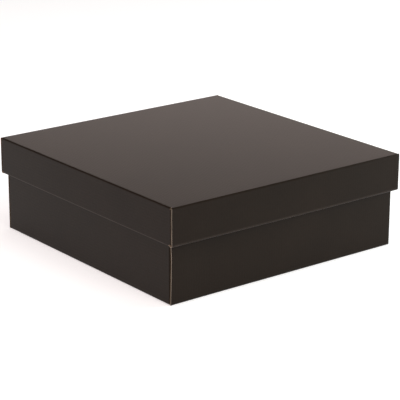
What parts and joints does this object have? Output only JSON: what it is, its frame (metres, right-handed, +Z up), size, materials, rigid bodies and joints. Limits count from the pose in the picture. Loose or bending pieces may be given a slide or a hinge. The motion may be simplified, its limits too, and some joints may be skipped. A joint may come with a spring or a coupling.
{
  "type": "gift box",
  "caption": "Square two-piece gift box in dark brown corrugated board: a base tray with rolled side walls that lock in the floor, and a shallow lid that lifts off it.",
  "frame": {"origin": "middle of the base's underside, on the table", "axes": "+Z up; X across the rolled double walls, +X right; Y across the single walls, -Y front"},
  "size_m": [0.3146, 0.3076, 0.105],
  "materials": {
    "printed_board": "dark brown printed liner, satin-matt, with raw kraft edges",
    "kraft_board": "unprinted kraft liner, matt"
  },
  "bodies": {
    "base": {"base_floor": "kraft_board", "base_front_wall": "printed_board", "base_back_wall": "printed_board", "base_left_outer_wall": "printed_board", "base_left_rim": "printed_board", "base_left_crease": "printed_board", "base_front_left_flap": "kraft_board", "base_back_left_flap": "kraft_board", "base_right_outer_wall": "printed_board", "base_right_rim": "printed_board", "base_right_crease": "printed_board", "base_front_right_flap": "kraft_board", "base_back_right_flap": "kraft_board"},
    "left_inner_wall": {"base_left_inner_wall": "printed_board", "base_front_left_tab": "printed_board", "base_back_left_tab": "printed_board"},
    "right_inner_wall": {"base_right_inner_wall": "printed_board", "base_front_right_tab": "printed_board", "base_back_right_tab": "printed_board"},
    "lid": {"lid_top": "printed_board", "lid_front_wall": "printed_board", "lid_back_wall": "printed_board", "lid_left_outer_wall": "printed_board", "lid_left_rim": "printed_board", "lid_left_inner_wall": "printed_board", "lid_front_left_flap": "kraft_board", "lid_back_left_flap": "kraft_board", "lid_right_outer_wall": "printed_board", "lid_right_rim": "printed_board", "lid_right_inner_wall": "printed_board", "lid_front_right_flap": "kraft_board", "lid_back_right_flap": "kraft_board"}
  },
  "joints": [
    {"name": "lid_lift", "type": "slide", "parent": "base", "child": "lid", "axis": [0, 0, 1], "range_m": [0, 0.2]},
    {"name": "left_inner_wall_swing", "type": "hinge", "parent": "base", "child": "left_inner_wall", "pos_m": [-0.1465, 0, 0.1018], "axis": [0, -1, 0], "range_deg": [0, 85], "deforming": ["base_left_crease", "base_front_left_tab", "base_back_left_tab"]},
    {"name": "right_inner_wall_swing", "type": "hinge", "parent": "base", "child": "right_inner_wall", "pos_m": [0.1465, 0, 0.1018], "axis": [0, 1, 0], "range_deg": [0, 85], "deforming": ["base_right_crease", "base_front_right_tab", "base_back_right_tab"]}
  ]
}
